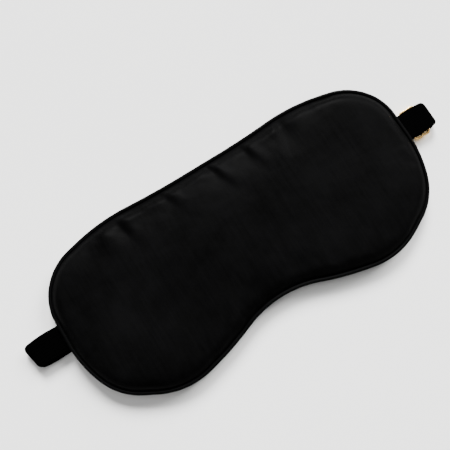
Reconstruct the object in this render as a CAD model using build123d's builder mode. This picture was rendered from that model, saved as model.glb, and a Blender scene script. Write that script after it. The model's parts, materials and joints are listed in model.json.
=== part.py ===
"""Padded satin sleep eye mask with a two-part elastic strap, a sliding adjuster and a strap ring.

The mask lies outer face up on its strap. X runs along the mask, +Y points to the brow edge and
+Z points out of the outer face. The origin is on the supporting surface, under the mask's middle.
"""

from build123d import *
import math
import os

os.makedirs("parts", exist_ok=True)

# Driving dimensions, in millimetres.
seam_z = 7.3                  # height of the seam plane that joins the two halves
front_height = 5.95           # padded rise of the outer half above the lining
back_height = 2.45            # padded rise of the inner half below the lining
satin_thickness = 0.4         # satin with its fusible backing
lining_thickness = 0.5        # light-blocking interlining
front_round = 5.4             # rounding of the outer half at its edge
back_round = 2.2              # rounding of the inner half at its edge
seam_space = 0.4              # room for the seam allowance and its thread
piping_radius = 1.0           # finished piping
piping_cord_radius = 0.6      # cord inside the piping
flange_depth = 5.0            # piping seam allowance, measured from the panel edge
thread_radius = 0.15          # sewing thread
panel_inset = 2.0 * piping_radius

strap_width = 14.0
strap_thickness = 0.7
strap_y = 6.0                 # the strap meets the widest point of the ends, above the middle
layer_gap = 0.1               # play between stacked strap layers
hinge_gap = 0.3               # half of the gap at each bending line of the strap
left_reach = 119.8            # outermost point of the left fold
right_reach = 117.8           # outermost point of the right fold
tab_bend_x = 102.2            # bending line of each tab, just outside the seam
anchor_depth = 8.0            # length of strap end caught in the seam
middle_bend_x = -40.0         # bending line of the strap behind the mask

hardware_thickness = 1.2      # gold slider and ring, measured through the strap
hardware_bar = 1.5            # width of each cross bar
hardware_width = 17.4         # overall width across the strap
hardware_slot = 14.8          # slot length across the strap
hardware_edge = 0.4           # rounding of the metal edges
slider_x = 108.5              # centre bar of the slider
slider_pitch = 4.0            # spacing of the three slider bars
slider_z = 2.2                # mid-plane of the slider
ring_x = 39.5                 # centre of the ring
ring_pitch = 7.0              # spacing of the two ring bars
ring_z = 1.9                  # mid-plane of the ring
ring_play = 0.6               # slack of the strap loops above and below the ring bars
ring_slack = 1.5              # slack of the middle strap's loop along the strap

half_strap = strap_thickness / 2.0
low_z = half_strap                                     # centre of the layer on the surface
second_z = strap_thickness + layer_gap + half_strap    # centre of the layer on top of it
tab_z = seam_z - piping_radius - 0.05 - half_strap     # the tabs leave just under the piping
lining_top = seam_z + lining_thickness / 2.0
lining_bottom = seam_z - lining_thickness / 2.0

# One half of the outline as a polygon with rounded corners, from the brow round to the nose.
half_outline = [
    (25.7, 44.9),
    (56.6, 47.1),
    (87.2, 40.2),
    (100.5, 24.7),
    (100.9, -9.3),
    (92.2, -32.2),
    (62.0, -48.8),
    (31.1, -41.6),
    (10.7, -33.6),
]


def corner_radii(points):
    """Return the largest near-full rounding of each corner of a closed polygon."""
    radii = []
    count = len(points)
    for index, corner in enumerate(points):
        before = Vector(*points[index - 1]) - Vector(*corner)
        after = Vector(*points[(index + 1) % count]) - Vector(*corner)
        turn = math.radians(180.0 - before.get_angle(after))
        radii.append(0.49 * min(before.length, after.length) / math.tan(turn / 2.0))
    return radii


outline_points = half_outline + [(-x, y) for x, y in reversed(half_outline)]
outline_radii = corner_radii(outline_points)


def outline_sketch(height, inset):
    """Return the mask outline, moved inward by inset, at the given height."""
    with BuildSketch(Plane.XY.offset(height)) as sketch:
        with BuildLine():
            FilletPolyline(*outline_points, radius=outline_radii, close=True)
        make_face()
        if inset > 0:
            offset(amount=-inset)
    return sketch.sketch


def padded_half(base_z, height, rounding, inset):
    """Return a cushion-shaped half that rises (or falls) from base_z and is rounded at its edge."""
    with BuildPart() as half:
        add(outline_sketch(base_z, inset))
        extrude(amount=height)
        end_face = half.faces().sort_by(Axis.Z)[-1 if height > 0 else 0]
        fillet(end_face.edges(), radius=rounding)
    return half.part


def band(points, radius):
    """Return a strap solid that follows a filleted centre line of (x, z) points."""
    with BuildPart() as strap:
        with BuildSketch(Plane.XZ.offset(-strap_y)):
            with BuildLine():
                if len(points) > 2:
                    FilletPolyline(*points, radius=radius)
                else:
                    Line(*points)
            trace(line_width=strap_thickness)
        extrude(amount=strap_width / 2.0, both=True)
    return strap.part


def fold_loop(centre_x, centre_z, radius, start_angle):
    """Return the half-round fold of the strap about centre_x, centre_z."""
    with BuildPart() as loop:
        with BuildSketch(Plane.XZ.offset(-strap_y)):
            with BuildLine():
                CenterArc((centre_x, centre_z), radius, start_angle, 180)
            trace(line_width=strap_thickness)
        extrude(amount=strap_width / 2.0, both=True)
    return loop.part


def finish(part, name):
    """Label one finished piece and write it."""
    part.label = name
    export_step(part, f"parts/{name}.step")


# --- Sewn ends of the strap and their bar tacks, caught inside the seam ---------------------------
tack_length = 11.0
tack_width = 1.2
tack_height = 0.2
anchor_x = tab_bend_x - hinge_gap - anchor_depth / 2.0
tack_x = anchor_x - anchor_depth / 4.0

with BuildPart() as left_strap_end:
    with Locations((-anchor_x, strap_y, tab_z)):
        Box(anchor_depth, strap_width, strap_thickness)

with BuildPart() as right_strap_end:
    with Locations((anchor_x, strap_y, tab_z)):
        Box(anchor_depth, strap_width, strap_thickness)

tack_z = tab_z - half_strap - tack_height / 2.0
with BuildPart() as left_bar_tack:
    with Locations((-tack_x, strap_y, tack_z)):
        Box(tack_width, tack_length, tack_height)

with BuildPart() as right_bar_tack:
    with Locations((tack_x, strap_y, tack_z)):
        Box(tack_width, tack_length, tack_height)

sewn_in = [left_strap_end.part, right_strap_end.part, left_bar_tack.part, right_bar_tack.part]

# --- Outer half: satin shell over wadding ---------------------------------------------------------
inner_inset = panel_inset + satin_thickness

with BuildPart() as front_panel:
    add(padded_half(lining_top, front_height, front_round, panel_inset))
    add(
        padded_half(
            lining_top,
            front_height - satin_thickness,
            front_round - satin_thickness,
            inner_inset,
        ),
        mode=Mode.SUBTRACT,
    )

with BuildPart() as front_wadding:
    add(
        padded_half(
            lining_top,
            front_height - satin_thickness,
            front_round - satin_thickness,
            inner_inset,
        )
    )
    with Locations((0, 0, lining_top + seam_space / 2.0)):
        Box(2 * left_reach, left_reach, seam_space, mode=Mode.SUBTRACT)

# --- Inner half: satin shell over a thinner wadding, open where the strap ends enter ---------------
with BuildPart() as back_panel:
    add(padded_half(lining_bottom, -back_height, back_round, panel_inset))
    add(
        padded_half(
            lining_bottom,
            -(back_height - satin_thickness),
            back_round - satin_thickness,
            inner_inset,
        ),
        mode=Mode.SUBTRACT,
    )
    add(sewn_in, mode=Mode.SUBTRACT)

with BuildPart() as back_wadding:
    add(
        padded_half(
            lining_bottom,
            -(back_height - satin_thickness),
            back_round - satin_thickness,
            inner_inset,
        )
    )
    add(sewn_in, mode=Mode.SUBTRACT)

# --- Light-blocking lining inside the ring of seam allowance --------------------------------------
flange_inset = panel_inset + flange_depth
with BuildPart() as blackout_lining:
    add(outline_sketch(lining_bottom, flange_inset + layer_gap))
    extrude(amount=lining_thickness)

# --- Piping: a cord wrapped in a satin strip whose flange is sewn into the seam --------------------
piping_path = outline_sketch(seam_z, piping_radius).faces()[0].outer_wire()
path_start = piping_path.position_at(0)
path_plane = Plane(origin=path_start, z_dir=piping_path.tangent_at(0))

with BuildPart() as piping_cord:
    with BuildSketch(path_plane):
        Circle(piping_cord_radius)
    sweep(path=piping_path)

with BuildPart() as piping_cover:
    with BuildSketch(path_plane):
        Circle(piping_radius)
        Circle(piping_cord_radius + 0.02, mode=Mode.SUBTRACT)
    sweep(path=piping_path)
    with BuildSketch(Plane.XY.offset(lining_bottom)):
        add(outline_sketch(0, 1.9 * piping_radius))
        add(outline_sketch(0, flange_inset), mode=Mode.SUBTRACT)
    extrude(amount=lining_thickness)

# --- Seam thread, lying on the piping flange just inside the outer shell ---------------------------
thread_path = outline_sketch(
    lining_top + thread_radius + 0.02, inner_inset + 2.5 * thread_radius
).faces()[0].outer_wire()
thread_plane = Plane(origin=thread_path.position_at(0), z_dir=thread_path.tangent_at(0))
with BuildPart() as seam_thread:
    with BuildSketch(thread_plane):
        Circle(thread_radius)
    sweep(path=thread_path)

# --- Left half of the strap: tab, fold and the span that lies behind the mask ---------------------
left_radius = (tab_z - low_z) / 2.0
left_pivot_x = -(left_reach - left_radius - half_strap)
left_pivot_z = low_z + left_radius
tab_start = tab_bend_x + hinge_gap

with BuildPart() as left_tab:
    add(band([(-tab_start, tab_z), (left_pivot_x, tab_z)], 0))

with BuildPart() as left_fold:
    add(fold_loop(left_pivot_x, left_pivot_z, left_radius, 90))

with BuildPart() as strap_left_span:
    add(band([(left_pivot_x, low_z), (middle_bend_x - hinge_gap, low_z)], 0))

# --- Middle span, its end turned round the ring's left bar and sewn flat ---------------------------
ring_left_x = ring_x - ring_pitch / 2.0
ring_right_x = ring_x + ring_pitch / 2.0
ring_turn = hardware_thickness / 2.0 + ring_play + half_strap
loop_right_x = ring_left_x + hardware_bar / 2.0 + ring_slack + half_strap
loop_top_x = ring_left_x - hardware_bar / 2.0 - ring_slack
loop_sewn_x = loop_top_x - 3.0
loop_end_x = loop_sewn_x - 8.0
sewn_z = strap_thickness + 0.05 + half_strap

with BuildPart() as strap_middle_span:
    add(
        band(
            [
                (middle_bend_x + hinge_gap, low_z),
                (loop_right_x, low_z),
                (loop_right_x, ring_z + ring_turn),
                (loop_top_x, ring_z + ring_turn),
                (loop_sewn_x, sewn_z),
                (loop_end_x, sewn_z),
            ],
            [0.97 * ring_turn, 0.97 * ring_turn, half_strap + 0.6, half_strap + 0.6],
        )
    )
    with Locations(((loop_end_x + loop_sewn_x) / 2.0, strap_y, strap_thickness + 0.025)):
        Box(0.5 * (loop_sewn_x - loop_end_x), strap_width, 0.15)

ring_tack_z = sewn_z + half_strap + tack_height / 2.0
with BuildPart() as ring_bar_tack:
    with Locations(((loop_end_x + loop_sewn_x) / 2.0, strap_y, ring_tack_z)):
        Box(tack_width, tack_length, tack_height)

# --- Gold ring that joins the two straps ----------------------------------------------------------
with BuildPart() as strap_ring:
    with BuildSketch(Plane((ring_x, strap_y, ring_z - hardware_thickness / 2.0))):
        RectangleRounded(ring_pitch + hardware_bar, hardware_width, 2.0)
        RectangleRounded(ring_pitch - hardware_bar, hardware_slot, 0.6, mode=Mode.SUBTRACT)
    extrude(amount=hardware_thickness)
    fillet(strap_ring.faces().filter_by(Axis.Z).edges(), radius=hardware_edge)

# --- Gold slider: two slots side by side, waisted where they meet at the centre bar ---------------
with BuildPart() as slider:
    slider_base = Plane((slider_x, strap_y, slider_z - hardware_thickness / 2.0))
    with BuildSketch(slider_base) as slider_outline:
        with Locations((-slider_pitch / 2.0, 0), (slider_pitch / 2.0, 0)):
            RectangleRounded(slider_pitch + hardware_bar, hardware_width, 2.0)
        waist = slider_outline.vertices().filter_by_position(Axis.X, -0.1, 0.1)
        fillet(waist, radius=0.6)
        with Locations((-slider_pitch / 2.0, 0), (slider_pitch / 2.0, 0)):
            RectangleRounded(
                slider_pitch - hardware_bar, hardware_slot, 0.6, mode=Mode.SUBTRACT
            )
    extrude(amount=hardware_thickness)
    fillet(slider.faces().filter_by(Axis.Z).edges(), radius=hardware_edge)

# --- Right half of the strap: tab and fold --------------------------------------------------------
right_radius = (tab_z - second_z) / 2.0
right_pivot_x = right_reach - right_radius - half_strap
right_pivot_z = second_z + right_radius

with BuildPart() as right_tab:
    add(band([(tab_start, tab_z), (right_pivot_x, tab_z)], 0))

with BuildPart() as right_fold:
    add(fold_loop(right_pivot_x, right_pivot_z, right_radius, -90))

# --- Adjuster strap: woven through the slider, round the ring and back to the centre bar ----------
loop_half_width = hardware_bar / 2.0 + layer_gap + half_strap
loop_half_height = hardware_thickness / 2.0 + layer_gap + half_strap
weave_x = loop_half_width + half_strap + 0.5 + half_strap
weave_top = slider_z + loop_half_height + half_strap + layer_gap + half_strap
ring_rise_x = ring_right_x + 1.5
ring_flat_x = ring_rise_x + 4.0
small_bend = half_strap + 0.15
return_end_x = slider_x - 7.0

with BuildPart() as adjuster_strap:
    add(
        band(
            [
                (right_pivot_x, second_z),
                (slider_x + weave_x, second_z),
                (slider_x + weave_x, weave_top),
                (slider_x - weave_x, weave_top),
                (slider_x - weave_x, second_z),
                (ring_flat_x, second_z),
                (ring_rise_x, ring_z + ring_turn),
                (ring_right_x - ring_turn, ring_z + ring_turn),
                (ring_right_x - ring_turn, low_z),
                (ring_right_x, low_z),
            ],
            [
                small_bend,
                small_bend * 2,
                small_bend * 2,
                small_bend,
                half_strap + 0.6,
                half_strap + 0.6,
                0.97 * ring_turn,
                0.97 * ring_turn,
            ],
        )
    )

with BuildPart() as adjuster_return:
    add(band([(ring_right_x, low_z), (return_end_x, low_z)], 0))

with BuildPart() as adjuster_end_loop:
    with BuildSketch(Plane.XZ.offset(-strap_y)):
        with Locations((slider_x, slider_z)):
            RectangleRounded(
                2 * (loop_half_width + half_strap), 2 * (loop_half_height + half_strap), 0.9
            )
            RectangleRounded(
                2 * (loop_half_width - half_strap),
                2 * (loop_half_height - half_strap),
                0.4,
                mode=Mode.SUBTRACT,
            )
    extrude(amount=strap_width / 2.0, both=True)
    tail_length = slider_x + loop_half_width - return_end_x
    with Locations((return_end_x + tail_length / 2.0, strap_y, low_z)):
        Box(tail_length, strap_width, strap_thickness)
    with Locations((slider_x, strap_y, strap_thickness)):
        Box(loop_half_width, strap_width, 3 * layer_gap)

tail_tack_height = 0.08
with BuildPart() as slider_bar_tack:
    with Locations((return_end_x + 1.6, strap_y, strap_thickness + tail_tack_height / 2.0)):
        Box(tack_width, tack_length, tail_tack_height)

# --- Write every piece ------------------------------------------------------------------------------
pieces = {
    "front_panel": front_panel,
    "front_wadding": front_wadding,
    "blackout_lining": blackout_lining,
    "back_wadding": back_wadding,
    "back_panel": back_panel,
    "piping_cover": piping_cover,
    "piping_cord": piping_cord,
    "seam_thread": seam_thread,
    "left_strap_end": left_strap_end,
    "right_strap_end": right_strap_end,
    "left_bar_tack": left_bar_tack,
    "right_bar_tack": right_bar_tack,
    "left_tab": left_tab,
    "left_fold": left_fold,
    "strap_left_span": strap_left_span,
    "strap_middle_span": strap_middle_span,
    "ring_bar_tack": ring_bar_tack,
    "strap_ring": strap_ring,
    "right_tab": right_tab,
    "right_fold": right_fold,
    "adjuster_strap": adjuster_strap,
    "adjuster_return": adjuster_return,
    "slider": slider,
    "adjuster_end_loop": adjuster_end_loop,
    "slider_bar_tack": slider_bar_tack,
}
for piece_name, piece in pieces.items():
    finish(piece.part, piece_name)
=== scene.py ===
"""Looks of the padded satin sleep eye mask: satin shell, piping, woven elastic strap, gold hardware."""

import json
import math

import bmesh
import bpy
import numpy as np
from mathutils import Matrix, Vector
from mathutils.kdtree import KDTree


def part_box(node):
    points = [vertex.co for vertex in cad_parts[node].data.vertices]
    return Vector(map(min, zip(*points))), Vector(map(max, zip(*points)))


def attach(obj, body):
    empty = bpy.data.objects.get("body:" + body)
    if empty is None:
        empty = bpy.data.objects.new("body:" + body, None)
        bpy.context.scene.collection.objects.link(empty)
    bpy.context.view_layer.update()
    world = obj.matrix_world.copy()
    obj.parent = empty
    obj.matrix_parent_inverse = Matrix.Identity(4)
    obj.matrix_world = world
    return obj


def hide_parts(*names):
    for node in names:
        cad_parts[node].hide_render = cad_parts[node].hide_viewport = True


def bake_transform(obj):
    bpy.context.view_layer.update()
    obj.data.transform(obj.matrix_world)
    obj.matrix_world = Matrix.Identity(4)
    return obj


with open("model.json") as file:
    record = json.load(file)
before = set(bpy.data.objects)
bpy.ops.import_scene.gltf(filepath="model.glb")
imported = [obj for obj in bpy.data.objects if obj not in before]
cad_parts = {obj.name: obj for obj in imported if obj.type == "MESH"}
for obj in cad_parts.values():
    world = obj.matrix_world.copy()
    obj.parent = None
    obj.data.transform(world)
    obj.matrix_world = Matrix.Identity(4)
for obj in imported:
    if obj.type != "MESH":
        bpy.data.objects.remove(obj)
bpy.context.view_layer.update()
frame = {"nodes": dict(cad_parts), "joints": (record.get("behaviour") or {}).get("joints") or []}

MM = 0.001
rng = np.random.default_rng(11)

# ---------------------------------------------------------------- sizes taken from the CAD frame
piping_low, piping_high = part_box("piping_cover")
PIPING_R = (piping_high[2] - piping_low[2]) / 2
SEAM_Z = (piping_high[2] + piping_low[2]) / 2
UNDER_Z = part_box("back_panel")[0][2]
tab_low, tab_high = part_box("left_tab")
BAND_T = tab_high[2] - tab_low[2]
BAND_W = tab_high[1] - tab_low[1]
BAND_Y = (tab_high[1] + tab_low[1]) / 2
TAB_Z = (tab_high[2] + tab_low[2]) / 2
PANEL_INSET = 2 * PIPING_R

# Half of the outline as a rounded polygon (millimetres), the same as the sewn pattern in the CAD.
HALF = [
    (25.7, 44.9),
    (56.6, 47.1),
    (87.2, 40.2),
    (100.5, 24.7),
    (100.9, -9.3),
    (92.2, -32.2),
    (62.0, -48.8),
    (31.1, -41.6),
    (10.7, -33.6),
]
CORNER_REACH = 0.49  # each corner's arc takes up this share of the shorter side beside it
CORNER_CUTS = 32


def rounded_outline():
    """The outline as a dense closed run of points in metres."""
    corners = np.array([(-x, y) for x, y in HALF] + [(x, y) for x, y in reversed(HALF)]) * MM
    count = len(corners)
    points = []
    for i in range(count):
        before = corners[i - 1] - corners[i]
        after = corners[(i + 1) % count] - corners[i]
        len_b, len_a = np.linalg.norm(before), np.linalg.norm(after)
        unit_b, unit_a = before / len_b, after / len_a
        turn = math.acos(np.clip(-(unit_b @ unit_a), -1, 1))
        reach = CORNER_REACH * min(len_b, len_a)
        radius = reach / math.tan(turn / 2)
        middle = unit_b + unit_a
        middle /= np.linalg.norm(middle)
        centre = corners[i] + middle * radius / math.cos(turn / 2)
        first = corners[i] + unit_b * reach - centre
        last = corners[i] + unit_a * reach - centre
        a0 = math.atan2(first[1], first[0])
        sweep = (math.atan2(last[1], last[0]) - a0 + math.pi) % (2 * math.pi) - math.pi
        for k in range(CORNER_CUTS + 1):
            a = a0 + sweep * k / CORNER_CUTS
            points.append(centre + radius * np.array([math.cos(a), math.sin(a)]))
    return np.array(points)


OUTLINE = rounded_outline()


def resample(points, count):
    """An open run of points, resampled at equal steps."""
    step = np.r_[0, np.cumsum(np.linalg.norm(np.diff(points, axis=0), axis=1))]
    s = np.linspace(0, step[-1], count)
    return np.stack([np.interp(s, step, points[:, k]) for k in range(points.shape[1])], -1)


def inward(points):
    """Unit normals that point into a closed counter-clockwise run."""
    tangent = np.roll(points, -1, 0) - np.roll(points, 1, 0)
    tangent /= np.linalg.norm(tangent, axis=1)[:, None]
    return np.stack([-tangent[:, 1], tangent[:, 0]], -1)


def make_object(name, verts, faces):
    """A smooth-shaded mesh object in the scene."""
    mesh = bpy.data.meshes.new(name)
    mesh.from_pydata([tuple(map(float, v)) for v in verts], [], faces)
    mesh.update()
    bm = bmesh.new()
    bm.from_mesh(mesh)
    bmesh.ops.recalc_face_normals(bm, faces=bm.faces)
    bm.to_mesh(mesh)
    bm.free()
    for polygon in mesh.polygons:
        polygon.use_smooth = True
    obj = bpy.data.objects.new(name, mesh)
    bpy.context.scene.collection.objects.link(obj)
    return obj


def apply_modifiers(obj):
    """Replace the mesh by what its modifiers make of it."""
    graph = bpy.context.evaluated_depsgraph_get()
    mesh = bpy.data.meshes.new_from_object(obj.evaluated_get(graph))
    old = obj.data
    obj.modifiers.clear()
    obj.data = mesh
    mesh.name = obj.name
    if old.users == 0:
        bpy.data.meshes.remove(old)


# ---------------------------------------------------------------- materials
def new_material(name):
    material = bpy.data.materials.new(name)
    material.use_nodes = True
    tree = material.node_tree
    shader = tree.nodes["Principled BSDF"]
    return material, tree, shader


def add_node(tree, kind, **inputs):
    node = tree.nodes.new(kind)
    for key, value in inputs.items():
        node.inputs[key.replace("_", " ")].default_value = value
    return node


def object_coords(tree, scale=(1, 1, 1), rotation=(0, 0, 0)):
    coords = tree.nodes.new("ShaderNodeTexCoord")
    mapping = tree.nodes.new("ShaderNodeMapping")
    mapping.inputs["Scale"].default_value = scale
    mapping.inputs["Rotation"].default_value = rotation
    tree.links.new(coords.outputs["Object"], mapping.inputs["Vector"])
    return mapping.outputs["Vector"]


def colour_ramp(tree, source, stops):
    ramp = tree.nodes.new("ShaderNodeValToRGB")
    elements = ramp.color_ramp.elements
    while len(elements) < len(stops):
        elements.new(0.5)
    for element, (place, colour) in zip(elements, stops):
        element.position = place
        element.color = (*colour, 1)
    tree.links.new(source, ramp.inputs["Fac"])
    return ramp.outputs["Color"]


def vary_roughness(tree, shader, source, seen, wanted):
    """Drive the roughness from a texture: its seen range gives the wanted range."""
    gloss = tree.nodes.new("ShaderNodeMapRange")
    gloss.inputs["From Min"].default_value, gloss.inputs["From Max"].default_value = seen
    gloss.inputs["To Min"].default_value, gloss.inputs["To Max"].default_value = wanted
    tree.links.new(source, gloss.inputs["Value"])
    tree.links.new(gloss.outputs["Result"], shader.inputs["Roughness"])


def add_bump(tree, shader, height, strength, distance, before=None):
    """A bump of the given strength and depth (metres), on top of an earlier one if there is one."""
    bump = tree.nodes.new("ShaderNodeBump")
    bump.inputs["Strength"].default_value = strength
    bump.inputs["Distance"].default_value = distance
    tree.links.new(height, bump.inputs["Height"])
    if before is not None:
        tree.links.new(before, bump.inputs["Normal"])
    tree.links.new(bump.outputs["Normal"], shader.inputs["Normal"])
    return bump.outputs["Normal"]


SLUB_SHARE = 0.25  # how much of the satin's tone comes from the slubs; the rest is the slow cloud


def satin_material(name, dark, light, thread_turn):
    """Black satin: long thread floats, slubs along the threads, patchy tone, dim broad sheen."""
    rotation = (0, 0, math.radians(thread_turn))
    material, tree, shader = new_material(name)
    cloud = add_node(tree, "ShaderNodeTexNoise", Scale=38.0, Detail=5.0, Roughness=0.62)
    tree.links.new(object_coords(tree), cloud.inputs["Vector"])
    slub = add_node(tree, "ShaderNodeTexNoise", Scale=700.0, Detail=3.0, Roughness=0.6)
    along = object_coords(tree, scale=(1.0, 0.06, 1.0), rotation=rotation)
    tree.links.new(along, slub.inputs["Vector"])
    tone = tree.nodes.new("ShaderNodeMath")
    tone.operation = "MULTIPLY_ADD"
    tone.inputs[1].default_value = SLUB_SHARE
    tree.links.new(slub.outputs["Fac"], tone.inputs[0])
    cloud_part = tree.nodes.new("ShaderNodeMath")
    cloud_part.operation = "MULTIPLY"
    cloud_part.inputs[1].default_value = 1 - SLUB_SHARE
    tree.links.new(cloud.outputs["Fac"], cloud_part.inputs[0])
    tree.links.new(cloud_part.outputs["Value"], tone.inputs[2])
    tree.links.new(
        colour_ramp(tree, tone.outputs["Value"], [(0.36, dark), (0.64, light)]),
        shader.inputs["Base Color"],
    )
    vary_roughness(tree, shader, tone.outputs["Value"], (0.3, 0.7), (0.36, 0.54))
    shader.inputs["Specular IOR Level"].default_value = 0.009
    shader.inputs["Sheen Weight"].default_value = 0.006
    shader.inputs["Sheen Roughness"].default_value = 0.30
    floats = tree.nodes.new("ShaderNodeTexWave")
    floats.bands_direction = "X"
    floats.inputs["Scale"].default_value = 900.0
    floats.inputs["Distortion"].default_value = 1.6
    floats.inputs["Detail"].default_value = 2.0
    floats.inputs["Detail Scale"].default_value = 3.0
    tree.links.new(object_coords(tree, rotation=rotation), floats.inputs["Vector"])
    weave = add_bump(tree, shader, floats.outputs["Fac"], 0.10, 0.00004)
    soft = add_node(tree, "ShaderNodeTexNoise", Scale=160.0, Detail=5.0, Roughness=0.55)
    tree.links.new(object_coords(tree), soft.inputs["Vector"])
    add_bump(tree, shader, soft.outputs["Fac"], 0.22, 0.0006, weave)
    return material


def elastic_material():
    """Woven elastic: lengthwise ribs, fine cross picks, plush fuzz."""
    material, tree, shader = new_material("woven_elastic")
    ribs = tree.nodes.new("ShaderNodeTexWave")
    ribs.bands_direction = "Y"
    ribs.inputs["Scale"].default_value = 210.0
    ribs.inputs["Distortion"].default_value = 0.6
    ribs.inputs["Detail"].default_value = 1.0
    tree.links.new(object_coords(tree), ribs.inputs["Vector"])
    picks = tree.nodes.new("ShaderNodeTexWave")
    picks.bands_direction = "X"
    picks.inputs["Scale"].default_value = 330.0
    picks.inputs["Distortion"].default_value = 1.2
    picks.inputs["Detail"].default_value = 1.0
    tree.links.new(object_coords(tree), picks.inputs["Vector"])
    fuzz = add_node(tree, "ShaderNodeTexNoise", Scale=2600.0, Detail=3.0, Roughness=0.7)
    tree.links.new(object_coords(tree), fuzz.inputs["Vector"])
    cells = tree.nodes.new("ShaderNodeMath")
    cells.operation = "MULTIPLY"
    tree.links.new(ribs.outputs["Fac"], cells.inputs[0])
    tree.links.new(picks.outputs["Fac"], cells.inputs[1])
    stops = [(0.0, (0.0001, 0.0001, 0.0001)), (1.0, (0.0006, 0.0006, 0.0006))]
    tree.links.new(colour_ramp(tree, cells.outputs["Value"], stops), shader.inputs["Base Color"])
    shader.inputs["Roughness"].default_value = 0.82
    shader.inputs["Specular IOR Level"].default_value = 0.006
    shader.inputs["Sheen Weight"].default_value = 0.012
    shader.inputs["Sheen Roughness"].default_value = 0.20
    first = add_bump(tree, shader, cells.outputs["Value"], 0.55, 0.00018)
    add_bump(tree, shader, fuzz.outputs["Fac"], 0.35, 0.00012, first)
    return material


def gold_material():
    """Polished gold plate with fine scratches and a little unevenness."""
    material, tree, shader = new_material("gold_plate")
    tone = add_node(tree, "ShaderNodeTexNoise", Scale=300.0, Detail=3.0, Roughness=0.5)
    tree.links.new(object_coords(tree), tone.inputs["Vector"])
    stops = [(0.3, (0.66, 0.41, 0.14)), (0.7, (0.85, 0.58, 0.25))]
    tree.links.new(colour_ramp(tree, tone.outputs["Fac"], stops), shader.inputs["Base Color"])
    shader.inputs["Metallic"].default_value = 1.0
    scratch = add_node(tree, "ShaderNodeTexNoise", Scale=900.0, Detail=6.0, Roughness=0.75)
    tree.links.new(object_coords(tree, scale=(1, 6, 1)), scratch.inputs["Vector"])
    vary_roughness(tree, shader, scratch.outputs["Fac"], (0.35, 0.75), (0.14, 0.34))
    add_bump(tree, shader, scratch.outputs["Fac"], 0.08, 0.00005)
    return material


def fibre_material(name, dark, light, scale, roughness):
    """Matt fibre of the filling or the lining."""
    material, tree, shader = new_material(name)
    fibre = add_node(tree, "ShaderNodeTexNoise", Scale=scale, Detail=6.0, Roughness=0.7)
    tree.links.new(object_coords(tree, scale=(1, 3, 1)), fibre.inputs["Vector"])
    tree.links.new(
        colour_ramp(tree, fibre.outputs["Fac"], [(0.3, dark), (0.7, light)]),
        shader.inputs["Base Color"],
    )
    shader.inputs["Roughness"].default_value = roughness
    shader.inputs["Specular IOR Level"].default_value = 0.02
    add_bump(tree, shader, fibre.outputs["Fac"], 0.5, 0.0003)
    return material


def thread_material():
    """Black thread in packed zigzag rows, as a bar tack is sewn."""
    material, tree, shader = new_material("black_thread")
    stitches = tree.nodes.new("ShaderNodeTexWave")
    stitches.bands_direction = "Y"
    stitches.inputs["Scale"].default_value = 620.0
    stitches.inputs["Distortion"].default_value = 0.8
    stitches.inputs["Detail"].default_value = 1.0
    tree.links.new(object_coords(tree, rotation=(0, 0, math.radians(12))), stitches.inputs["Vector"])
    stops = [(0.1, (0.0002, 0.0002, 0.0002)), (0.9, (0.0022, 0.0022, 0.0024))]
    tree.links.new(colour_ramp(tree, stitches.outputs["Fac"], stops), shader.inputs["Base Color"])
    shader.inputs["Roughness"].default_value = 0.6
    shader.inputs["Specular IOR Level"].default_value = 0.02
    plies = add_node(tree, "ShaderNodeTexNoise", Scale=4000.0, Detail=3.0, Roughness=0.6)
    tree.links.new(object_coords(tree, scale=(1, 3, 1)), plies.inputs["Vector"])
    rows = add_bump(tree, shader, stitches.outputs["Fac"], 0.8, 0.00025)
    add_bump(tree, shader, plies.outputs["Fac"], 0.3, 0.00008, rows)
    return material


def floor_material():
    """A pale matt studio floor."""
    material, tree, shader = new_material("studio_floor")
    cloud = add_node(tree, "ShaderNodeTexNoise", Scale=6.0, Detail=3.0, Roughness=0.5)
    tree.links.new(object_coords(tree), cloud.inputs["Vector"])
    stops = [(0.3, (0.88, 0.88, 0.87)), (0.7, (0.91, 0.91, 0.90))]
    tree.links.new(colour_ramp(tree, cloud.outputs["Fac"], stops), shader.inputs["Base Color"])
    shader.inputs["Roughness"].default_value = 0.9
    # The floor shows only from above and doesn't stop the lamp below it.
    clear = tree.nodes.new("ShaderNodeBsdfTransparent")
    side = tree.nodes.new("ShaderNodeNewGeometry")
    ray = tree.nodes.new("ShaderNodeLightPath")
    either = tree.nodes.new("ShaderNodeMath")
    either.operation = "MAXIMUM"
    tree.links.new(side.outputs["Backfacing"], either.inputs[0])
    tree.links.new(ray.outputs["Is Shadow Ray"], either.inputs[1])
    mix = tree.nodes.new("ShaderNodeMixShader")
    tree.links.new(either.outputs["Value"], mix.inputs["Fac"])
    tree.links.new(shader.outputs["BSDF"], mix.inputs[1])
    tree.links.new(clear.outputs["BSDF"], mix.inputs[2])
    tree.links.new(mix.outputs["Shader"], tree.nodes["Material Output"].inputs["Surface"])
    return material


SATIN_DARK = (0.0009, 0.0009, 0.0009)
SATIN_LIGHT = (0.0021, 0.0021, 0.0022)
SATIN = satin_material("black_satin", SATIN_DARK, SATIN_LIGHT, thread_turn=38)
SATIN_BACK = satin_material("black_satin_inner", SATIN_DARK, SATIN_LIGHT, thread_turn=-38)
PIPING_DARK = (0.0011, 0.0011, 0.0011)
PIPING_LIGHT = (0.0022, 0.0022, 0.0023)
PIPING = satin_material("black_satin_bias", PIPING_DARK, PIPING_LIGHT, thread_turn=83)
ELASTIC = elastic_material()
GOLD = gold_material()
WADDING = fibre_material("wadding_fibre", (0.62, 0.62, 0.60), (0.82, 0.82, 0.80), 900.0, 0.95)
BLACKOUT = fibre_material("blackout_weave", (0.010, 0.010, 0.011), (0.022, 0.022, 0.024), 1500.0, 0.85)
THREAD = thread_material()

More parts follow.
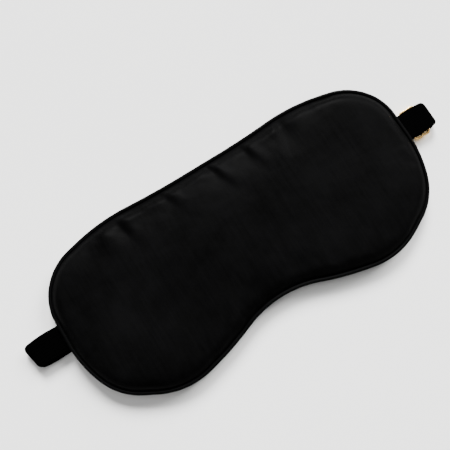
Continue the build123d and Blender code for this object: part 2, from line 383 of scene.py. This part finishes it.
# ---------------------------------------------------------------- padded satin body
AROUND = 240
RINGS = 18
HALF_AROUND = AROUND // 2
SEAM_TUCK = 0.2 * MM  # how far the satin's edge goes in under the piping
SPINE_SHARE = 0.60  # the spine's length against the mask's
SPINE_RISE = 6 * MM  # the spine bows towards the brow above the nose notch
SPINE_ARCH = 35 * MM
RING_EASE = 1.35  # rings lie closer together near the seam
EDGE_POWER = 2.3  # how full the padding's rounded edge is
# Padding on each side of the seam: height, width of its rounding, crown, reach of the crown.
FRONT_PAD = (4.2 * MM, 6.4 * MM, 0.9 * MM, 12 * MM)
BACK_PAD = (-1.6 * MM, 4.6 * MM, -0.6 * MM, 12 * MM)

# The rim starts at the outline's right end, with the same number of points along brow and cheek.
loop = np.roll(OUTLINE, -int(np.argmax(OUTLINE[:, 0])), 0)
loop = np.vstack([loop, loop[:1]])
left_end = int(np.argmin(loop[:, 0]))
first_side = resample(loop[: left_end + 1], HALF_AROUND + 1)
second_side = resample(loop[left_end:], HALF_AROUND + 1)
rim = np.vstack([first_side[:-1], second_side[:-1]])
if np.sum(rim[:, 0] * np.roll(rim[:, 1], -1) - np.roll(rim[:, 0], -1) * rim[:, 1]) < 0:
    rim = np.vstack([rim[:1], rim[:0:-1]])
seam = rim + inward(rim) * (PANEL_INSET - SEAM_TUCK)

fine = resample(np.vstack([seam, seam[:1]]), 2000)
fine_tree = KDTree(len(fine))
for index, point in enumerate(fine):
    fine_tree.insert((point[0], point[1], 0), index)
fine_tree.balance()


def edge_distance(x, y):
    """Distance of a point from the seam, seen from above."""
    return fine_tree.find((x, y, 0))[2]


def spine(k):
    """The spine point shared by the rim points k and AROUND - k."""
    x = 0.5 * (seam[k][0] + seam[(AROUND - k) % AROUND][0]) * SPINE_SHARE
    return np.array([x, SPINE_RISE * math.exp(-((x / SPINE_ARCH) ** 2))])


spine_points = [spine(k) for k in range(HALF_AROUND + 1)]


def rise(d, height, rounding, crown, reach):
    """Height of the padding at a distance d from the seam."""
    u = min(d / rounding, 1.0)
    return height * (1 - (1 - u) ** EDGE_POWER) + crown * (1 - math.exp(-d / reach))


def build_pad():
    """The closed, slightly underfilled pad: one seam ring, then rings and a spine on each side."""
    verts = [(p[0], p[1], SEAM_Z) for p in seam]
    faces = []
    for side, profile in enumerate([FRONT_PAD, BACK_PAD]):
        previous = list(range(AROUND))
        for j in range(1, RINGS):
            t = (j / RINGS) ** RING_EASE
            ring = []
            for i in range(AROUND):
                k = min(i, AROUND - i)
                p = seam[i] * (1 - t) + spine_points[k] * t
                z = SEAM_Z + rise(edge_distance(*p), *profile)
                ring.append(len(verts))
                verts.append((p[0], p[1], z))
            for i in range(AROUND):
                n = (i + 1) % AROUND
                faces.append((previous[i], previous[n], ring[n], ring[i]))
            previous = ring
        ridge = []
        for k in range(HALF_AROUND + 1):
            p = spine_points[k]
            z = SEAM_Z + rise(edge_distance(*p), *profile)
            ridge.append(len(verts))
            verts.append((p[0], p[1], z))
        for i in range(AROUND):
            n = (i + 1) % AROUND
            a, b = ridge[min(i, AROUND - i)], ridge[min(n, AROUND - n)]
            faces.append((previous[i], previous[n], b, a))
        if side == 0:
            top_faces = len(faces)
    return make_object("pad", verts, faces), top_faces


pad, top_faces = build_pad()
start = np.array([v.co for v in pad.data.vertices])

CLOTH_STEPS = 20
pinned = pad.vertex_groups.new(name="pin")
pinned.add(list(range(AROUND)), 1.0, "REPLACE")
cloth = pad.modifiers.new("cloth", "CLOTH")
settings = cloth.settings
settings.quality = 6
settings.mass = 0.15
settings.tension_stiffness = 12
settings.compression_stiffness = 6
settings.shear_stiffness = 4
settings.bending_stiffness = 0.05
settings.vertex_group_mass = "pin"
settings.use_pressure = True
settings.uniform_pressure_force = 4.0
settings.shrink_min = -0.035
settings.effector_weights.gravity = 0
cloth.collision_settings.use_collision = False
cloth.collision_settings.use_self_collision = False
for step in range(1, CLOTH_STEPS + 1):
    bpy.context.scene.frame_set(step)
apply_modifiers(pad)
bpy.context.scene.frame_set(1)

# The cloth's own shape is taken on in part, and no point moves further than the cap.
CAP = 0.9 * MM
SETTLE = 0.35
moved = np.array([v.co for v in pad.data.vertices])
shift = moved - start
length = np.linalg.norm(shift, axis=1)
eased = CAP * np.tanh(SETTLE * length / CAP)
settled = start + shift * (eased / np.maximum(length, 1e-9))[:, None]
for vertex, position in zip(pad.data.vertices, settled):
    vertex.co = position


def half_of_pad(name, keep_top):
    """One side of the pad as its own mesh."""
    mesh = pad.data
    used = {}
    verts, faces = [], []
    for polygon in mesh.polygons:
        on_top = polygon.index < top_faces
        if on_top != keep_top:
            continue
        face = []
        for index in polygon.vertices:
            if index not in used:
                used[index] = len(verts)
                verts.append(mesh.vertices[index].co[:])
            face.append(used[index])
        faces.append(face)
    return make_object(name, verts, faces)


# Each pucker: where it leaves the brow seam, where it dies out, its depth and its width (mm),
# and the side of its steep wall (1 towards +X, -1 towards -X).
PUCKERS = [
    ((46.2, 43.5), (42.6, 22.0), 1.1, 2.4, -1),
    ((23.0, 43.0), (28.6, 19.5), 0.9, 1.9, 1),
    ((3.2, 42.5), (10.4, 20.5), 1.45, 1.8, 1),
    ((-23.8, 43.0), (-19.6, 29.5), 1.0, 1.6, 1),
    ((-50.4, 43.5), (-44.6, 15.5), 1.15, 2.7, 1),
    ((-61.7, 42.0), (-63.0, 19.0), 0.5, 3.0, 1),
    ((-7.0, -31.0), (-10.5, -18.0), 0.6, 2.4, 1),
    ((66.0, 42.0), (61.0, 31.0), 0.3, 2.2, 1),
    ((-36.5, 43.0), (-34.0, 31.0), 0.3, 2.0, 1),
]
STEEP_WALL = 0.75  # the reach of a pucker's two walls, as shares of its width
EASY_WALL = 2.1
RIDGE_OFFSET = 1.7  # the ridge beside the valley: its distance, reach and height, as shares
RIDGE_REACH = 1.1
RIDGE_SHARE = 0.45
# Each dent: its middle, its reach and its depth (mm).
DENTS = [
    ((-58.0, -8.0), 17.0, 0.55),
    ((49.0, -18.0), 15.0, 0.45),
    ((70.0, 12.0), 13.0, 0.35),
    ((-20.0, 8.0), 16.0, -0.40),
    ((26.0, 8.0), 18.0, -0.45),
]


def pucker_height(x, y):
    """Height that the puckers and dents add to the shell at a point, in metres."""
    total = 0.0
    for (cx, cy), reach, depth in DENTS:
        total -= depth * math.exp(-(((x / MM - cx) ** 2 + (y / MM - cy) ** 2) / reach ** 2))
    for (x0, y0), (x1, y1), depth, width, steep in PUCKERS:
        dx, dy = x1 - x0, y1 - y0
        span = math.hypot(dx, dy)
        ux, uy = dx / span, dy / span
        along = ((x / MM - x0) * ux + (y / MM - y0) * uy) / span
        across = ((x / MM - x0) * -uy + (y / MM - y0) * ux) * steep
        if along < -0.2 or along > 1.15:
            continue
        fade = max(0.0, 1 - max(along, 0) ** 1.6) ** 1.2 if along < 1 else 0.0
        wide = width * (0.75 + 0.9 * max(along, 0))
        wall = STEEP_WALL * wide if across > 0 else EASY_WALL * wide
        valley = math.exp(-((across / wall) ** 2))
        ridge = math.exp(-(((across - RIDGE_OFFSET * wide) / (RIDGE_REACH * wide)) ** 2))
        total += depth * fade * (RIDGE_SHARE * ridge - valley)
    return total * MM


PUCKER_EDGE = 3.0 * MM  # the puckers grow from nothing at the seam over this distance
SWELL_EDGE = 10 * MM
SWELL_HEIGHT = 0.55 * MM
SWELL_WAVES = 12
DEEPEST = 0.5  # no pucker takes more than this share of the padding's height
SATIN_T = 0.35 * MM


def dress(obj, sign, amount):
    """Subdivide a half, add the puckers and the slow unevenness of soft padding, and thicken it."""
    modifier = obj.modifiers.new("smooth", "SUBSURF")
    modifier.levels = 1
    modifier.render_levels = 1
    apply_modifiers(obj)
    phases = rng.uniform(0, 2 * math.pi, SWELL_WAVES)
    waves = rng.uniform(35, 120, (SWELL_WAVES, 2)) * rng.choice([-1, 1], (SWELL_WAVES, 2))
    for vertex in obj.data.vertices:
        x, y, z = vertex.co
        d = edge_distance(x, y)
        edge = min(d / PUCKER_EDGE, 1.0)
        inner = min(d / SWELL_EDGE, 1.0)
        swell = sum(math.sin(x * w[0] + y * w[1] + p) for w, p in zip(waves, phases)) / SWELL_WAVES
        room = DEEPEST * abs(z - SEAM_Z)
        lift = max(amount * pucker_height(x, y) * edge, -room) + SWELL_HEIGHT * swell * inner
        vertex.co.z = z + sign * lift
    for vertex in obj.data.vertices:
        vertex.co.z = max(vertex.co.z, UNDER_Z)
    shell = obj.modifiers.new("cloth_thickness", "SOLIDIFY")
    shell.thickness = SATIN_T
    shell.offset = -1
    second = obj.modifiers.new("finish", "SUBSURF")
    second.levels = 1
    second.render_levels = 1
    apply_modifiers(obj)


FILL_LENGTH = 0.97  # the filling's outline against the shell's
FILL_HEIGHT = 0.94
FILL_MIDDLE = 2 * MM
FILL_EDGE = 0.1  # share of the shell's height that it fills at the edge, and what it gains inward
FILL_GAIN = 0.65
FILL_REACH = 20 * MM
FILL_LEAST = 0.1 * MM


def wadding(name, source, floor_z, sign):
    """Closed fibre filling under a satin half, thin under its edge where the satin is gathered."""
    verts = []
    for vertex in source.data.vertices:
        x, y, z = vertex.co
        share = FILL_EDGE + FILL_GAIN * min(edge_distance(x, y) / FILL_REACH, 1)
        depth = max((z - floor_z) * share, sign * FILL_LEAST, key=abs)
        y = FILL_MIDDLE + (y - FILL_MIDDLE) * FILL_HEIGHT
        verts.append((x * FILL_LENGTH, y, floor_z + depth))
    count = len(verts)
    verts += [(x, y, floor_z) for x, y, z in verts]
    faces = [tuple(p.vertices) for p in source.data.polygons]
    faces += [tuple(count + i for i in reversed(p.vertices)) for p in source.data.polygons]
    bm = bmesh.new()
    bm.from_mesh(source.data)
    for edge in bm.edges:
        if edge.is_boundary:
            a, b = edge.verts[0].index, edge.verts[1].index
            faces.append((a, b, count + b, count + a))
    bm.free()
    return make_object(name, verts, faces)


satin_front = half_of_pad("satin_front", True)
satin_back = half_of_pad("satin_back", False)
bpy.data.objects.remove(pad)
LINING_ROOM = 0.5 * MM  # between the seam's height and each filling, for the lining
wadding_front = wadding("wadding_front", satin_front, SEAM_Z + LINING_ROOM, 1)
wadding_back = wadding("wadding_back", satin_back, SEAM_Z - LINING_ROOM, -1)
dress(satin_front, 1, 1.0)
dress(satin_back, -1, 0.3)

for obj, node, material, slot_name, fill in [
    (satin_front, "front_panel", SATIN, "satin", 0.7),
    (satin_back, "back_panel", SATIN_BACK, "satin", 0.5),
    (wadding_front, "front_wadding", WADDING, "wadding", 0.7),
    (wadding_back, "back_wadding", WADDING, "wadding", 0.5),
]:
    obj.data.materials.clear()
    obj.data.materials.append(material)
    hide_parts(node)
    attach(obj, "mask")


# ---------------------------------------------------------------- piping
def sweep_closed(name, centre_xy, z, radius, sides, ripple):
    """A round tube along a closed run, with the small ripples of bias fabric over a cord."""
    normal = inward(centre_xy)
    verts, faces = [], []
    count = len(centre_xy)
    for i, (p, n) in enumerate(zip(centre_xy, normal)):
        for k in range(sides):
            a = 2 * math.pi * k / sides
            r = radius * (1 + ripple[i] * (0.6 + 0.4 * math.cos(a)))
            out = r * math.cos(a)
            verts.append((p[0] - n[0] * out, p[1] - n[1] * out, z + r * math.sin(a)))
    for i in range(count):
        n = (i + 1) % count
        for k in range(sides):
            m = (k + 1) % sides
            faces.append((i * sides + k, n * sides + k, n * sides + m, i * sides + m))
    return make_object(name, verts, faces)


steps = 960
closed = resample(np.vstack([rim, rim[:1]]), steps + 1)[:-1]
centre_line = closed + inward(closed) * PIPING_R
position = np.arange(steps)
# Small even gathers whose spacing wanders, with some chance unevenness.
wander = 1.3 * np.sin(position * 2 * math.pi * 11 / steps)
ripple = 0.018 * np.sin(position * 2 * math.pi * 67 / steps + wander)
ripple = ripple + 0.014 * np.interp(position, np.linspace(0, steps, 161), rng.uniform(-1, 1, 161))
piping = sweep_closed("piping_tube", centre_line, SEAM_Z, PIPING_R * 0.985, 16, ripple)
piping.data.materials.append(PIPING)
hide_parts("piping_cover")
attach(piping, "mask")


# ---------------------------------------------------------------- elastic strap
def bent_path(points, radii, step=0.5 * MM):
    """(x, z) corners with rounded bends, as a run of points."""
    path = [np.array(points[0], float)]
    for i in range(1, len(points) - 1):
        corner = np.array(points[i], float)
        back = np.array(points[i - 1], float) - corner
        ahead = np.array(points[i + 1], float) - corner
        back /= np.linalg.norm(back)
        ahead /= np.linalg.norm(ahead)
        turn = math.acos(np.clip(-(back @ ahead), -1, 1))
        radius = radii[i - 1]
        reach = radius * math.tan(turn / 2)
        centre = corner + (back + ahead) / np.linalg.norm(back + ahead) * radius / math.cos(turn / 2)
        first = corner + back * reach - centre
        last = corner + ahead * reach - centre
        a0 = math.atan2(first[1], first[0])
        sweep = (math.atan2(last[1], last[0]) - a0 + math.pi) % (2 * math.pi) - math.pi
        cuts = max(4, int(abs(sweep) * radius / (0.25 * step)))
        for k in range(cuts + 1):
            a = a0 + sweep * k / cuts
            path.append(centre + radius * np.array([math.cos(a), math.sin(a)]))
    path.append(np.array(points[-1], float))
    return np.array(path)


CROSS = 28  # steps across the band: a rib each second one
RIB_DEPTH = 0.03  # of the band's thickness
SELVEDGE_POWER = 14  # high, so that the band thins only at its two edges


def band_section(width, thickness):
    """The closed section of a woven band: softly rounded selvedges and shallow ribs."""
    section = []
    half_w, half_t = width / 2, thickness / 2
    for k in range(CROSS + 1):
        y = -half_w + width * k / CROSS
        fall = (abs(y) / half_w) ** SELVEDGE_POWER
        rib = RIB_DEPTH * thickness * (k % 2)
        section.append((y * (1 - 0.01 * fall), half_t * (1 - 0.65 * fall) - rib))
    return section + [(y, -z) for y, z in reversed(section)]


def band(name, path, width=BAND_W, shape=None, caps=(False, False)):
    """A woven band along an (x, z) path, centred on the strap line, closed at its capped ends."""
    still = np.zeros(len(path))
    factors, leans, drifts = (still + 1, still, still) if shape is None else shape
    verts, faces = [], []
    tangent = np.gradient(path, axis=0)
    tangent /= np.linalg.norm(tangent, axis=1)[:, None]
    for i, (p, t) in enumerate(zip(path, tangent)):
        for y, h in band_section(width * factors[i], BAND_T):
            x = p[0] - t[1] * h + leans[i] * y
            verts.append((x, BAND_Y + drifts[i] + y, p[1] + t[0] * h))
    ring = 2 * (CROSS + 1)
    for i in range(len(path) - 1):
        for k in range(ring):
            m = (k + 1) % ring
            faces.append((i * ring + k, i * ring + m, (i + 1) * ring + m, (i + 1) * ring + k))
    for base, capped in zip((0, (len(path) - 1) * ring), caps):
        if capped:
            for k in range(CROSS):
                faces.append((base + k, base + k + 1, base + ring - 2 - k, base + ring - 1 - k))
    obj = make_object(name, verts, faces)
    obj.data.materials.append(ELASTIC)
    return obj


def straight(x0, x1, z, count):
    """A level (x, z) run."""
    return np.stack([np.linspace(x0, x1, count), np.full(count, z)], -1)


def arc(cx, cz, r, a0, a1, count=40):
    """An (x, z) arc between two angles in degrees."""
    angle = np.linspace(math.radians(a0), math.radians(a1), count)
    return np.stack([cx + r * np.cos(angle), cz + r * np.sin(angle)], -1)


def joint_point(name):
    """Where a joint's axis stands at rest, in metres."""
    return next(joint["pos_m"] for joint in frame["joints"] if joint["name"] == name)


left_hinge = joint_point("strap_open")
left_pivot = joint_point("left_fold_unroll")
right_hinge = joint_point("right_seam_bend")
right_pivot = joint_point("right_fold_unroll")
LOW_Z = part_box("strap_left_span")[0][2] + BAND_T / 2
LEFT_R = (TAB_Z - LOW_Z) / 2
RIGHT_R = TAB_Z - right_pivot[2]
SECOND_Z = right_pivot[2] - RIGHT_R
TAB_SPLIT = 6.0 * MM  # from a tab's seam hinge to where its next piece takes over
RIGHT_SPLIT = TAB_SPLIT * 0.8
SEWN_IN = 8 * MM  # how far the strap's end reaches in past the hinge
LEFT_JOIN = -80 * MM
CORNER = 3.0 * MM  # the rounding of a fold's two corners


def taper(path, tip, root, root_share, tip_share, lean, drift):
    """Width factors, slants and sideways drifts of a tab along its path, from the tab's shape."""
    share = np.clip((path[:, 0] - tip) / (root - tip), 0, 1)
    factor = tip_share + (root_share - tip_share) * share ** 0.5 + 0.05 * np.sin(math.pi * share)
    corner = np.clip(1 - np.abs(path[:, 0] - tip) / CORNER, 0, 1)
    factor = factor - (CORNER / (BAND_W / 2)) * (1 - np.sqrt(1 - corner ** 2))
    # Only the tab drifts sideways; past the fold the strap is back on its own line.
    past_fold = np.arange(len(path)) > np.argmin(np.abs(path[:, 0] - tip))
    on_tab = np.where(past_fold, 0, share)
    return factor, lean * (1 - share) ** 1.5, drift * np.sin(0.75 * math.pi * on_tab)


# Each shape: its tip and root along X, its width shares at root and tip, its slant and its drift.
left_tip = left_pivot[0] - LEFT_R - BAND_T / 2
left_shape = (left_tip, left_hinge[0], 1.0, 0.90, -0.22, 0.5 * MM)
root_path = straight(left_hinge[0] + SEWN_IN, left_hinge[0] - TAB_SPLIT, TAB_Z, 40)
root_shape = taper(root_path, *left_shape)
left_root = band("strap_left_root", root_path, shape=root_shape, caps=(True, False))
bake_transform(left_root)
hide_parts("left_strap_end", "left_tab")

turn_path = np.vstack([
    straight(left_hinge[0] - TAB_SPLIT, left_pivot[0], TAB_Z, 12)[:-1],
    arc(left_pivot[0], left_pivot[2], LEFT_R, 90, 270),
    straight(left_pivot[0], LEFT_JOIN, LOW_Z, 24)[1:],
])
left_turn = band("strap_left_turn", turn_path, shape=taper(turn_path, *left_shape))
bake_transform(left_turn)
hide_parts("left_fold", "strap_left_span")

left_long = band("strap_left_long", straight(LEFT_JOIN, 0, LOW_Z, 90))
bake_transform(left_long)

# The middle strap's end turns round the ring's left bar and is sewn down flat.
ring_low, ring_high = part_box("strap_ring")
RING_Z = (ring_low[2] + ring_high[2]) / 2
BAR = 1.5 * MM  # the gold bars are this wide and 1.2 mm thick
BAR_HALF_T = 0.6 * MM
ring_left = ring_low[0] + BAR / 2
ring_right = ring_high[0] - BAR / 2
RING_TURN = RING_Z - LOW_Z
TURN_RADIUS = 0.97 * RING_TURN  # a little under half the turn's height, so that its two arcs fit
loop_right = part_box("strap_middle_span")[1][0] - BAND_T / 2
loop_top = ring_left - BAR / 2 - 1.5 * MM
loop_slope = 3 * MM
sewn_length = 8 * MM
sewn_z = LOW_Z + BAND_T + 0.05 * MM
middle_path = bent_path(
    [
        (0, LOW_Z),
        (loop_right, LOW_Z),
        (loop_right, RING_Z + RING_TURN),
        (loop_top, RING_Z + RING_TURN),
        (loop_top - loop_slope, sewn_z),
        (loop_top - loop_slope - sewn_length, sewn_z),
    ],
    [TURN_RADIUS, TURN_RADIUS, 1.4 * MM, 1.4 * MM],
)
middle_end = band("strap_middle_end", middle_path, caps=(False, True))
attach(middle_end, "middle_span")
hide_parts("strap_middle_span")

right_tip = right_pivot[0] + RIGHT_R + BAND_T / 2
right_shape = (right_tip, right_hinge[0], 1.0, 0.93, 0, 0.2 * MM)
root_path = straight(right_hinge[0] - SEWN_IN, right_hinge[0] + RIGHT_SPLIT, TAB_Z, 40)
root_shape = taper(root_path, *right_shape)
right_root = band("strap_right_root", root_path, shape=root_shape, caps=(True, False))
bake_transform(right_root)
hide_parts("right_strap_end", "right_tab")

slider_low, slider_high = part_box("slider")
SLIDER_X = (slider_low[0] + slider_high[0]) / 2
SLIDER_Z = (slider_low[2] + slider_high[2]) / 2
weave_right = slider_high[0] + 0.1 * MM
weave_left = slider_low[0] - 0.2 * MM
feed_x = right_pivot[0] - 0.7 * MM
turn_path = np.vstack([
    straight(right_hinge[0] + RIGHT_SPLIT, right_pivot[0], TAB_Z, 12)[:-1],
    arc(right_pivot[0], right_pivot[2], RIGHT_R, 90, -90),
    straight(right_pivot[0], feed_x, SECOND_Z, 3)[1:],
])
right_turn = band("strap_right_turn", turn_path, shape=taper(turn_path, *right_shape))
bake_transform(right_turn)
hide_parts("right_fold")

# Plain runs that lengthen and shorten as the slider moves join the pieces that keep their shape.
feed = band("adjuster_feed", straight(feed_x, weave_right, SECOND_Z, 2))
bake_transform(feed)

# Half width and half height of the end's loop round the slider's centre bar, then the weave
# that passes over that loop.
LAYER_GAP = 0.1 * MM
LOOP_HW = BAR / 2 + LAYER_GAP + BAND_T / 2
LOOP_HH = BAR_HALF_T + LAYER_GAP + BAND_T / 2
WEAVE_X = LOOP_HW + BAND_T + 0.5 * MM
WEAVE_TOP = SLIDER_Z + LOOP_HH + BAND_T + LAYER_GAP
weave_path = bent_path(
    [
        (weave_right, SECOND_Z),
        (SLIDER_X + WEAVE_X, SECOND_Z),
        (SLIDER_X + WEAVE_X, WEAVE_TOP),
        (SLIDER_X - WEAVE_X, WEAVE_TOP),
        (SLIDER_X - WEAVE_X, SECOND_Z),
        (weave_left, SECOND_Z),
    ],
    [0.5 * MM, 1.0 * MM, 1.0 * MM, 0.5 * MM],
)
weave = band("adjuster_weave", weave_path, width=BAND_W * 0.995)
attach(weave, "slider")

run_end = ring_right + 7 * MM
run = band("adjuster_run", straight(weave_left, run_end, SECOND_Z, 2))
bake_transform(run)

return_start = ring_right + 4 * MM
# The strap drops to the ring's height, turns round its right bar and runs back underneath.
ring_path = bent_path(
    [
        (run_end, SECOND_Z),
        (ring_right + 5.5 * MM, SECOND_Z),
        (ring_right + 1.5 * MM, RING_Z + RING_TURN),
        (ring_right - RING_TURN, RING_Z + RING_TURN),
        (ring_right - RING_TURN, LOW_Z),
        (return_start, LOW_Z),
    ],
    [0.95 * MM, 0.95 * MM, TURN_RADIUS, TURN_RADIUS],
)
ring_turn = band("adjuster_ring_turn", ring_path)
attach(ring_turn, "right_span")
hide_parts("adjuster_strap")

return_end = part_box("adjuster_return")[1][0]
back_run = band("adjuster_back_run", straight(return_start, return_end, LOW_Z, 2))
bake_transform(back_run)
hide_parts("adjuster_return")

# The strap's end wraps the slider's centre bar and is sewn back on itself under it.
end_path = bent_path(
    [
        (return_end, LOW_Z),
        (SLIDER_X + LOOP_HW, LOW_Z),
        (SLIDER_X + LOOP_HW, SLIDER_Z + LOOP_HH),
        (SLIDER_X - LOOP_HW, SLIDER_Z + LOOP_HH),
        (SLIDER_X - LOOP_HW, SLIDER_Z - LOOP_HH),
        (SLIDER_X + LOOP_HW * 0.2, SLIDER_Z - LOOP_HH),
    ],
    [0.6 * MM, 0.6 * MM, 0.6 * MM, 0.6 * MM],
)
end_loop = band("adjuster_end", end_path, width=BAND_W * 0.99, caps=(False, True))
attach(end_loop, "slider")
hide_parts("adjuster_end_loop")

# ---------------------------------------------------------------- materials of the CAD nodes that stay
for node, material in [
    ("strap_ring", GOLD),
    ("slider", GOLD),
    ("blackout_lining", BLACKOUT),
    ("piping_cord", THREAD),
    ("seam_thread", THREAD),
    ("left_bar_tack", THREAD),
    ("right_bar_tack", THREAD),
    ("ring_bar_tack", THREAD),
    ("slider_bar_tack", THREAD),
]:
    data = frame["nodes"][node].data
    data.materials.clear()
    data.materials.append(material)

# ---------------------------------------------------------------- floor, light, camera
FLOOR_HALF = 20  # metres, so that its edge stays far off in low views
floor_corners = [(x * FLOOR_HALF, y * FLOOR_HALF, 0) for x, y in [(-1, -1), (1, -1), (1, 1), (-1, 1)]]
floor_mesh = bpy.data.meshes.new("floor")
floor_mesh.from_pydata(floor_corners, [], [(0, 1, 2, 3)])
floor = bpy.data.objects.new("floor", floor_mesh)
bpy.context.scene.collection.objects.link(floor)
floor.data.materials.append(floor_material())
floor.location.z = -0.05 * MM  # just under the strap, so that the two faces never fight

# The photo's viewpoint, fitted to the mask's outline in it.
TILT = math.radians(9.69)
SPIN = math.radians(-32.04)
camera_data = bpy.data.cameras.new("camera")
camera_data.sensor_fit = "HORIZONTAL"
camera_data.angle = math.radians(35.0)
camera_data.clip_start = 0.01
camera = bpy.data.objects.new("camera", camera_data)
camera.location = (-36.2 * MM, -39.2 * MM, 352.4 * MM + SEAM_Z)
camera.rotation_euler = (TILT, 0, SPIN)
bpy.context.scene.collection.objects.link(camera)
bpy.context.scene.camera = camera


def soft_sun(name, direction, strength, angle):
    """A wide soft light from a direction given in picture terms: right, up, towards the camera."""
    data = bpy.data.lights.new(name, "SUN")
    data.energy = strength
    data.angle = math.radians(angle)
    light = bpy.data.objects.new(name, data)
    right, up, out = direction
    c, s = math.cos(SPIN), math.sin(SPIN)
    source = Vector((right * c - up * s, right * s + up * c, out))
    light.rotation_euler = (-source).to_track_quat("-Z", "Y").to_euler()
    bpy.context.scene.collection.objects.link(light)


soft_sun("key", (-0.1, 1.0, 0.85), 9.5, 26)
soft_sun("top", (-0.1, 0.1, 1.6), 1.0, 40)
soft_sun("rim", (0.8, 1.0, 0.85), 5.0, 30)
soft_sun("under", (-0.3, 0.4, -1.0), 16.0, 60)

# The studio's far wall is as pale as the floor to the eye, and adds only a little light.
world = bpy.data.worlds.new("studio")
world.use_nodes = True
nodes = world.node_tree.nodes
wall = nodes["Background"]
wall.inputs["Color"].default_value = (1, 1, 1, 1)
seen = nodes.new("ShaderNodeLightPath")
level = nodes.new("ShaderNodeMapRange")
level.inputs["To Min"].default_value = 0.13
level.inputs["To Max"].default_value = 2.75
world.node_tree.links.new(seen.outputs["Is Camera Ray"], level.inputs["Value"])
world.node_tree.links.new(level.outputs["Result"], wall.inputs["Strength"])
bpy.context.scene.world = world
